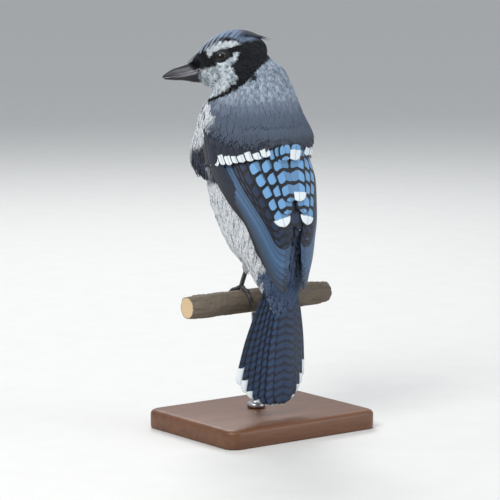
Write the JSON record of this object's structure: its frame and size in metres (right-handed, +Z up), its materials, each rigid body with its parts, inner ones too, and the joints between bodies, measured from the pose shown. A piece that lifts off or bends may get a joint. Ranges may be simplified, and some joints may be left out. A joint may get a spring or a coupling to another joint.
{
  "type": "blue jay",
  "caption": "Life-size model of a blue jay seen from behind, its head turned to its left, perched on a cut branch held by a display stand.",
  "frame": {"origin": "centre of the underside of the stand's base", "axes": "+Z up, +Y the way the bird's breast faces, -X the bird's left"},
  "size_m": [0.116, 0.0921, 0.2526],
  "materials": {
    "head_feathers": "matte",
    "mantle_feathers": "matte",
    "wing_feathers": "satin",
    "tail_feathers": "satin",
    "bill": "satin",
    "eye": "gloss",
    "leg_feathers": "matte",
    "foot": "satin",
    "bark": "rough",
    "stand_steel": "satin",
    "stand_wood": "satin"
  },
  "bodies": {
    "root": {"head": "head_feathers", "neck": "mantle_feathers", "torso": "mantle_feathers", "tail": "tail_feathers", "bill_upper": "bill", "bill_lower": "bill", "eye_left": "eye", "eye_right": "eye", "wing_left": "wing_feathers", "wing_right": "wing_feathers", "leg_left": "leg_feathers", "leg_right": "leg_feathers", "foot_left": "foot", "foot_right": "foot", "perch": "bark", "stand_rod": "stand_steel", "stand_base": "stand_wood"}
  },
  "joints": []
}
